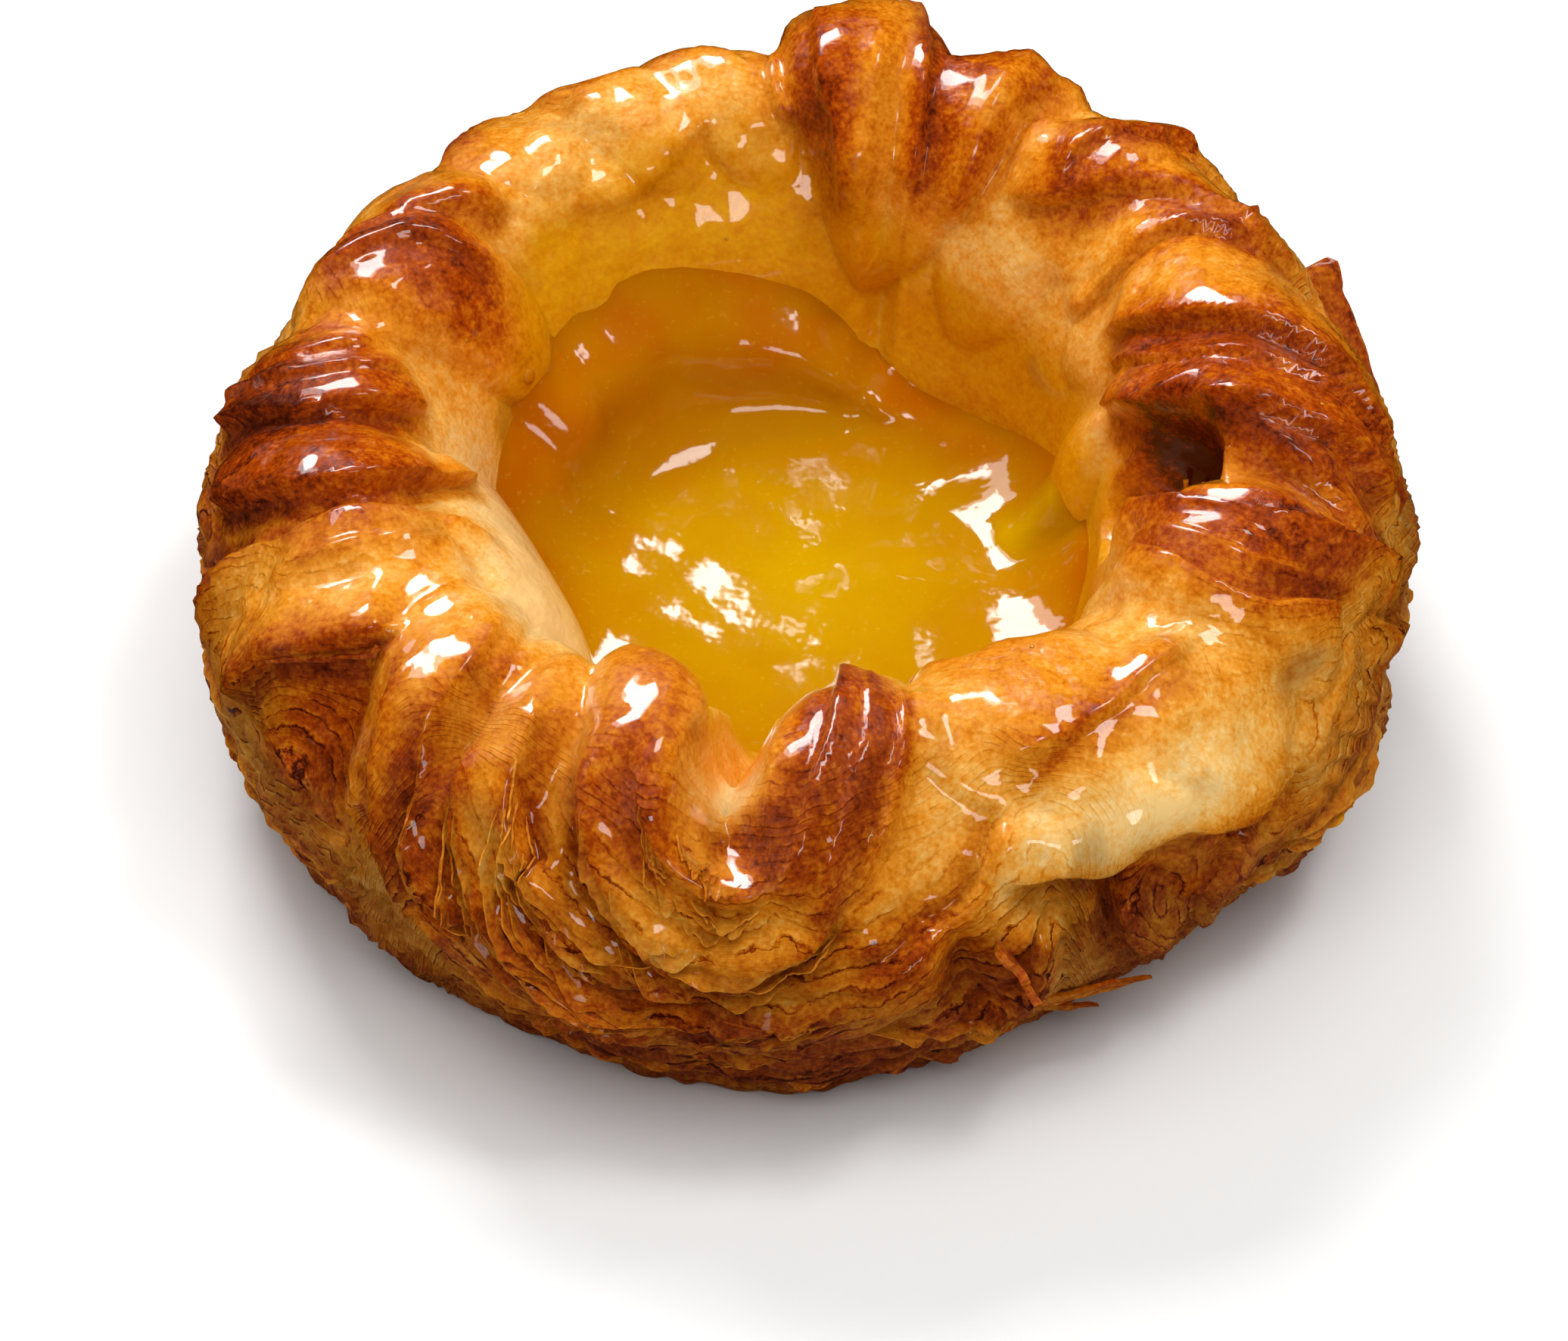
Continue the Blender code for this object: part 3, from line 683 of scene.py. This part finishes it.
def buildFins():
    pieces = []
    root = 1.2  # mm of each fin that is sunk in the crust
    for name, (first, last, top, bottom, high, thickness) in fins.items():
        u = np.linspace(0, 1, 24)
        v = np.linspace(0, 1, 7)[:, None]
        angle = first + (last - first) * u
        place, normal, _ = onCrust(angle, top + (bottom - top) * u)
        turn = np.radians(angle)
        leaning = np.stack([np.cos(turn), np.sin(turn), 1.3 + 0 * turn], axis=1)
        way = leaning / np.linalg.norm(leaning, axis=1, keepdims=True) * 0.6 + normal * 0.6
        shape = np.minimum(1, u / 0.06) ** 0.5 * (1 - u) ** 0.4 * (1 + 0.06 * np.sin(u * 17))
        rise = (v * (high + root) * shape[None] - root)[..., None]
        bend = -(0.8 * v**2 * shape[None])[..., None] * (0, 0, 1)
        sheet = sheetMesh(name, place[None] + rise * way[None] + bend, 0.62 + 0.12 * v)
        thicken(sheet, thickness)
        pieces.append(sheet)
    return joinAll(pieces, "fins")


splinters = {
    "thickness": 0.4,
    # angle, reach, length (mm), width (mm), rise for each mm of length
    "slivers": ((297, 34.5, 9.0, 1.5, 0.15), (295, 33.2, 7.0, 1.2, 0.3), (296, 36.0, 6.0, 1.0, -0.1)),
}


def buildSplinters():
    pieces = []
    for index, (angle, reach, length, width, climb) in enumerate(splinters["slivers"]):
        place, normal, _ = onCrust(angle, reach)
        turn = math.radians(angle)
        way = np.array([-math.sin(turn), math.cos(turn), 0]) + 0.28 * normal
        u = np.linspace(0, 1, 14)
        v = np.linspace(-0.5, 0.5, 3)[:, None]
        wide = width * (1 - u) ** 0.7 * (1 + 0.25 * np.sin(u * 21 + index))
        spine = place - way * 1.5 + u[:, None] * length * way
        spine = spine + np.array([0, 0, climb]) * (u * length)[:, None]
        grid = spine[None] + (v * wide[None])[..., None] * np.array([0, 0, 1.0])
        grid[..., 2] = np.maximum(grid[..., 2] + 0.15 * np.sin(u * 9)[None], 0.3)
        pieces.append(sheetMesh("sliver%d" % index, grid, 0.45 + 0.3 * u[None]))
    piece = joinAll(pieces, "splinters")
    thicken(piece, splinters["thickness"])
    return piece


strands = {
    "knots": 9,
    "merge": 0.02,  # mm
    "skin": {"bake": 0.45, "gloss": 0.6, "flaky": 0.0},
    # torn strings of crumb across the hole: angle, reach, length (mm), drift (deg), thickness (mm)
    "strings": ((1.5, -7.0, 3.0, -3, 0.22), (0.5, -6.5, 3.8, -4, 0.28), (-1.0, -6.0, 2.6, -4, 0.20),
                (-2.5, -5.5, 2.2, -3, 0.24), (2.5, -8.0, 2.8, -2, 0.26)),
}


def buildStrands():
    pieces = []
    for index, (angle, reach, length, drift, thickness) in enumerate(strands["strings"]):
        curve = bpy.data.curves.new("strand%d" % index, "CURVE")
        curve.dimensions = "3D"
        curve.bevel_depth = thickness * mm
        curve.bevel_resolution = 2
        curve.use_fill_caps = True
        spline = curve.splines.new("POLY")
        spline.points.add(strands["knots"] - 1)
        start, normal, _ = onCrust(angle, reach)
        turn = math.radians(angle)
        aside = np.array([-math.sin(turn), math.cos(turn), 0])
        for point, share in zip(spline.points, np.linspace(0, 1, strands["knots"])):
            place = start + normal * (0.6 - 0.4 * share) + aside * drift * 0.3 * share
            place = place + np.array([0, 0, -length * share]) + 0.25 * math.sin(5 * share + index) * aside
            point.co = (*((place + crust["shift"]) * mm), 1)
            point.radius = 1 - 0.65 * share
        strand = bpy.data.objects.new(curve.name, curve)
        bpy.context.scene.collection.objects.link(strand)
        choose([strand])
        bpy.ops.object.convert(target="MESH")
        pieces.append(strand)
    piece = joinAll(pieces, "strands")
    faceOutwards(strands["merge"] * mm)
    bpy.ops.object.shade_smooth()
    count = len(piece.data.vertices)
    paint(piece, **{name: np.full(count, value) for name, value in strands["skin"].items()})
    return piece


beads = {
    "seed": 5,
    "count": 12,
    "sizes": (0.2, 0.42),
    "long": 1.15,
    "flat": 0.5,
    "placed": ((291, -8, 1.2), (328, 26, 1.0), (150, -12, 0.7), (343, -8, 0.7)),  # angle, reach, size (mm)
    "ambers": ((0.3, "#C47408"), (0.7, "#D89418")),
}


def buildBeads():
    rng = np.random.default_rng(beads["seed"])
    spots = list(beads["placed"])
    for _ in range(beads["count"]):
        spots.append((rng.uniform(0, 360), rng.uniform(-12, 15), rng.uniform(*beads["sizes"]) ** 1.3))
    pieces = []
    for angle, reach, size in spots:
        place, normal, _ = onCrust(angle, reach)
        deselect()
        bpy.ops.mesh.primitive_ico_sphere_add(subdivisions=3 if size > 0.7 else 2, radius=1)
        bead = bpy.context.object
        turn = Vector(normal).to_track_quat("Z", "Y").to_matrix()
        for vertex in bead.data.vertices:
            x, y, z = vertex.co
            local = Vector((x * size, y * size * beads["long"], z * size * beads["flat"]))
            vertex.co = (Vector(place + crust["shift"]) + turn @ local) * mm
        pieces.append(bead)
    piece = joinAll(pieces, "glaze_beads")
    bpy.ops.object.shade_smooth()
    return piece


def linear(code):  # an sRGB hex colour as linear light
    parts = [int(code[index:index + 2], 16) / 255 for index in (1, 3, 5)]
    return (*(part / 12.92 if part <= 0.04045 else ((part + 0.055) / 1.055) ** 2.4 for part in parts), 1)


usedOutput = {"ShaderNodeAttribute": "Fac", "ShaderNodeTexCoord": "Object", "ShaderNodeMix": 2}


def addNode(tree, name, kind, settings):  # a socket takes a value, or the name of the node that feeds it
    node = tree.nodes.new("ShaderNode" + kind)
    node.name = name
    for key, value in settings.items():
        if key == "stops":
            bar = node.color_ramp.elements
            for index, (place, code) in enumerate(value):
                stop = bar[index] if index < 2 else bar.new(place)
                stop.position = place
                stop.color = linear(code)
        elif isinstance(key, str) and key not in node.inputs:
            setattr(node, key, value)
        elif isinstance(value, str):
            source = tree.nodes[value]
            tree.links.new(source.outputs[usedOutput.get(source.bl_idname, 0)], node.inputs[key])
        else:
            node.inputs[key].default_value = value


def newMaterial(name):
    material = bpy.data.materials.new(name)
    material.use_nodes = True
    material.node_tree.nodes.clear()
    return material, material.node_tree


dough = {
    "colours": ((0.0, "#FBCF84"), (0.2, "#F8B655"), (0.4, "#EC9422"), (0.58, "#D4730C"), (0.75, "#AE4406"),
                (0.9, "#7E2A05"), (1.0, "#4C1503")),
    "stained": ((0.0, "#EDB010"), (0.45, "#DC8A04"), (0.8, "#B05801"), (1.0, "#7E3600")),
    # size in mm, detail and roughness; wave is the swell of the glaze that breaks up its shine
    "noises": {"speckle": (1.3, 4, 0.6), "fine": (0.42, 2, 0.5), "crumb": (0.7, 3, 0.5),
               "wave": (1.7, 2, 0.5), "drift": (12, 1, 0.5)},
    "strata": 1.25,  # mm from one fine layer to the next; the real ones are finer and would not show
    "streak": 0.55,  # mm between the finest layers that show
    "streakScale": 150,  # for each metre along a layer
    "speckleTone": 0.55,
    "fineTone": 0.45,
    "streakTone": 0.8,
    # how dark the painted shade in the gap behind each fine layer is
    "paintedGapShade": 0.85,
    "paleTone": 0.25,
    "glossy": 0.09,  # roughness under the glaze and off it
    "dry": 0.5,
    "coat": 0.8,
}


# laminated butter dough, baked and brushed with a sugar glaze: it gives a mottled golden brown, darker on the
# folds, with painted shade under the lips, in the creases, the hollows and the gaps between fine layers, a
# hard clear shine above and matt flaky layers below
def bakedDough():
    material, tree = newMaterial("baked_laminated_dough")
    addNode(tree, "place", "TexCoord", {})
    for name in ("bake", "gloss", "stain", "layer", "flaky"):
        addNode(tree, name, "Attribute", {"attribute_name": name})
    for name, (size, detail, roughness) in dough["noises"].items():
        addNode(tree, name, "TexNoise",
                {"Scale": 1 / (size * mm), "Detail": detail, "Roughness": roughness, "Vector": "place"})
    addNode(tree, "streakPlace", "Math", {"operation": "MULTIPLY", 0: "layer", 1: 1 / dough["streak"] / 2})
    addNode(tree, "streak", "TexNoise", {"noise_dimensions": "4D", "Scale": dough["streakScale"], "Detail": 3,
                                         "Vector": "place", "W": "streakPlace"})
    for name, operation, *sockets in (
        # mottled browning and the finest streaks
        ("speckleSwing", "SUBTRACT", "speckle", 0.5),
        ("speckled", "MULTIPLY_ADD", "speckleSwing", dough["speckleTone"], "bake"),
        ("fineSwing", "SUBTRACT", "fine", 0.5),
        ("mottled", "MULTIPLY_ADD", "fineSwing", dough["fineTone"], "speckled"),
        ("streakSwing", "SUBTRACT", "streak", 0.5),
        ("streakShare", "MULTIPLY_ADD", "flaky", 0.75, 0.25),
        ("lines", "MULTIPLY", "streakSwing", "streakShare"),
        ("streaked", "MULTIPLY_ADD clamp", "lines", dough["streakTone"], "mottled"),
        # the fine layers: each rises to a thin pale edge, and painted shade darkens the gap behind it
        ("sheetBend", "MULTIPLY", "speckle", 0.9),
        ("sheetDrift", "MULTIPLY_ADD", "drift", 3.0, "sheetBend"),
        ("sheet", "MULTIPLY_ADD", "layer", 1 / dough["strata"], "sheetDrift"),
        ("saw", "FRACT", "sheet"),
        ("gapStart", "SUBTRACT clamp", "saw", 0.80),
        ("gap", "MULTIPLY clamp", "gapStart", 5.0),
        ("paleStart", "SUBTRACT clamp", "saw", 0.45),
        ("pale", "MULTIPLY clamp", "paleStart", 2.2),
        ("seenStart", "SUBTRACT clamp", "wave", 0.36),
        ("seen", "MULTIPLY clamp", "seenStart", 4.5),
        ("flakyShare", "ADD", "flaky", 0.05),
        ("share", "MULTIPLY", "flakyShare", "seen"),
        ("paintedGapShade", "MULTIPLY", "gap", dough["paintedGapShade"]),
        ("paleTone", "MULTIPLY", "pale", dough["paleTone"]),
        ("leafPaleAndGapShade", "SUBTRACT", "paintedGapShade", "paleTone"),
        ("tone", "MULTIPLY_ADD clamp", "share", "leafPaleAndGapShade", "streaked"),
        # shine
        ("evenRough", "MULTIPLY_ADD", "gloss", dough["glossy"] - dough["dry"], dough["dry"]),
        ("waveSwing", "SUBTRACT", "wave", 0.5),
        ("rough", "MULTIPLY_ADD clamp", "waveSwing", 0.12, "evenRough"),
        ("coat", "MULTIPLY", "gloss", dough["coat"]),
        # relief: full where the dough is dry, and filled in by the glaze
        ("dryShare", "SUBTRACT clamp", 1.08, "gloss"),
        ("dryRelief", "MULTIPLY_ADD", "dryShare", 0.9, 0.1),
        ("grainShare", "ADD", "flaky", 0.2),
        ("crumbGrain", "MULTIPLY", "crumb", 0.5),
        ("grain", "MULTIPLY_ADD", "streak", "grainShare", "crumbGrain"),
        ("dryGrain", "MULTIPLY", "grain", "dryRelief"),
        ("waved", "MULTIPLY_ADD", "wave", 0.45, "dryGrain"),
        ("crumbed", "MULTIPLY_ADD", "crumb", 0.10, "waved"),
        ("gapDepth", "MULTIPLY", "gap", 1.2),
        ("leafRise", "SUBTRACT", "saw", "gapDepth"),
        ("relief", "MULTIPLY_ADD", "share", "leafRise", "crumbed"),
    ):
        kind, _, clamp = operation.partition(" ")
        addNode(tree, name, "Math", {"operation": kind, "use_clamp": bool(clamp), **dict(enumerate(sockets))})
    for name in ("colours", "stained"):
        addNode(tree, name, "ValToRGB", {"stops": dough[name], "Fac": "tone"})
    addNode(tree, "colour", "Mix", {"data_type": "RGBA", 0: "stain", 6: "colours", 7: "stained"})
    addNode(tree, "bump", "Bump", {"Strength": 0.8, "Distance": 0.5 * mm, "Height": "relief"})
    addNode(tree, "shader", "BsdfPrincipled", {
        "IOR": 1.48, "Subsurface Weight": 0.08, "Subsurface Scale": 1.5 * mm,
        "Subsurface Radius": (1.0, 0.6, 0.25), "Coat Roughness": 0.045, "Coat IOR": 1.5,
        "Specular IOR Level": 0.15, "Coat Weight": "coat", "Base Color": "colour", "Roughness": "rough",
        "Normal": "bump"})
    addNode(tree, "out", "OutputMaterial", {"Surface": "shader"})
    return material


# egg custard, baked and set: it gives a smooth moist yellow, browner where it is thin on the wall
def setCustard():
    material, tree = newMaterial("baked_egg_custard")
    addNode(tree, "place", "TexCoord", {})
    addNode(tree, "rim", "Attribute", {"attribute_name": "rim"})
    for name, size in (("patch", 7), ("fleck", 0.5), ("dimple", 2.4)):  # mm
        addNode(tree, name, "TexNoise", {"Scale": 1 / (size * mm), "Detail": 2, "Vector": "place"})
    for name, operation, *sockets in (
        ("patchSwing", "SUBTRACT", "patch", 0.5),
        ("tone", "MULTIPLY_ADD clamp", "patchSwing", 0.5, "rim"),
        ("fleckStart", "SUBTRACT clamp", "fleck", 0.62),
        ("fleckShare", "MULTIPLY", "fleckStart", 1.2),
        ("rough", "MULTIPLY_ADD", "patch", 0.08, 0.03),
        ("relief", "MULTIPLY_ADD", "dimple", 0.6, "patch"),
    ):
        kind, _, clamp = operation.partition(" ")
        addNode(tree, name, "Math", {"operation": kind, "use_clamp": bool(clamp), **dict(enumerate(sockets))})
    addNode(tree, "yellows", "ValToRGB", {"stops": custard["yellows"], "Fac": "tone"})
    addNode(tree, "colour", "Mix",
            {"data_type": "RGBA", 0: "fleckShare", 6: "yellows", 7: linear(custard["fleck"])})
    addNode(tree, "bump", "Bump", {"Strength": 0.35, "Distance": 0.35 * mm, "Height": "relief"})
    addNode(tree, "shader", "BsdfPrincipled", {
        "IOR": 1.42, "Subsurface Weight": 0.2, "Subsurface Scale": 3 * mm,
        "Subsurface Radius": (1.0, 0.8, 0.2), "Base Color": "colour", "Roughness": "rough", "Normal": "bump"})
    addNode(tree, "out", "OutputMaterial", {"Surface": "shader"})
    return material


# boiled apricot and sugar glaze, run together in drops: it gives clear amber with a hard bright shine
def sugarGlaze():
    material, tree = newMaterial("apricot_sugar_glaze")
    addNode(tree, "place", "TexCoord", {})
    addNode(tree, "patch", "TexNoise", {"Scale": 1 / (6 * mm), "Detail": 1, "Vector": "place"})
    addNode(tree, "rough", "Math", {"operation": "MULTIPLY_ADD", 0: "patch", 1: 0.06, 2: 0.03})
    addNode(tree, "ambers", "ValToRGB", {"stops": beads["ambers"], "Fac": "patch"})
    addNode(tree, "shader", "BsdfPrincipled", {
        "IOR": 1.48, "Subsurface Weight": 0.2, "Subsurface Scale": 1.5 * mm, "Base Color": "ambers",
        "Roughness": "rough"})
    addNode(tree, "out", "OutputMaterial", {"Surface": "shader"})
    return material


stage = {
    "floorSize": 6.0,
    "floorColour": "#F4F4F3",
    "world": 0.26,
    "lights": {  # place, width and height in m, power in W, does it light, is it mirrored in the glaze
        "back_softbox": ((-0.30, 0.72, 0.88), (0.42, 0.30), 7.0, True, True),
        "top_softbox": ((0.42, 0.10, 1.05), (0.30, 0.20), 2.6, True, True),
        "back_shine": ((-0.36, 0.68, 0.90), (0.62, 0.38), 5.0, False, True),
        "front_shine": ((0.22, -0.85, 0.80), (0.32, 0.20), 1.7, False, True),
        "wide_fill": ((0.0, -0.35, 1.5), (1.7, 1.5), 16.6, True, False),
    },
    "aim": (0.0, 0.0, 0.02),
}


# matt white card: it gives a plain bright floor with soft shadows
def whiteCard():
    material, tree = newMaterial("white_card")
    addNode(tree, "shader", "BsdfPrincipled",
            {"Base Color": linear(stage["floorColour"]), "Roughness": 0.9, "Specular IOR Level": 0.1})
    addNode(tree, "out", "OutputMaterial", {"Surface": "shader"})
    return material


def buildFloor():
    deselect()
    bpy.ops.mesh.primitive_plane_add(size=stage["floorSize"])
    floor = bpy.context.object
    floor.name = "floor"
    floor.data.materials.append(whiteCard())
    floor.visible_glossy = False  # the white card doesn't veil the glaze


def addLight(name, place, size, power, lights, shines):
    light = bpy.data.lights.new(name, "AREA")
    light.shape = "RECTANGLE"
    light.size, light.size_y = size
    light.energy = power
    lamp = bpy.data.objects.new(name, light)
    lamp.location = place
    lamp.rotation_euler = (Vector(stage["aim"]) - Vector(place)).to_track_quat("-Z", "Y").to_euler()
    lamp.visible_diffuse = lights
    lamp.visible_glossy = shines
    bpy.context.scene.collection.objects.link(lamp)


def buildLight():
    world = bpy.data.worlds.new("white_room")
    world.use_nodes = True
    background = world.node_tree.nodes["Background"]
    background.inputs["Color"].default_value = (1, 1, 1, 1)
    background.inputs["Strength"].default_value = stage["world"]
    world.cycles_visibility.glossy = False
    bpy.context.scene.world = world
    for name, settings in stage["lights"].items():
        addLight(name, *settings)
    bpy.context.scene.view_settings.view_transform = "Standard"


view = {"elevation": 46.0, "distance": 0.56, "lens": 146.09, "target": (-0.00128, 0.00132, 0.00139)}


def buildCamera():
    lens = bpy.data.cameras.new("camera")
    lens.sensor_width = 36
    lens.lens = view["lens"]
    lens.clip_end = 20
    camera = bpy.data.objects.new("camera", lens)
    tilt = math.radians(view["elevation"])
    camera.location = Vector(view["target"]) + view["distance"] * Vector((0, -math.cos(tilt), math.sin(tilt)))
    camera.rotation_euler = (math.radians(90) - tilt, 0, 0)
    bpy.context.scene.collection.objects.link(camera)
    bpy.context.scene.camera = camera


def report(piece):
    print("%s: %d faces" % (piece.name, len(piece.data.polygons)))


buildCamera()
buildLight()
buildFloor()
print("stage, light and camera are set")

crustPiece = buildCrust()
baked = bakedDough()
crustPiece.data.materials.append(baked)
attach(crustPiece, "root")
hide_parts("pastry")
report(crustPiece)

custardPiece = buildCustard()
custardPiece.data.materials.append(setCustard())
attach(custardPiece, "root")
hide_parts("custard")
report(custardPiece)

glaze = sugarGlaze()
for build, look in ((buildFlakes, baked), (buildFins, baked), (buildSplinters, baked), (buildStrands, baked),
                    (buildBeads, glaze)):
    small = build()
    small.data.materials.clear()
    small.data.materials.append(look)
    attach(small, "root")
    report(small)

bpy.context.view_layer.update()
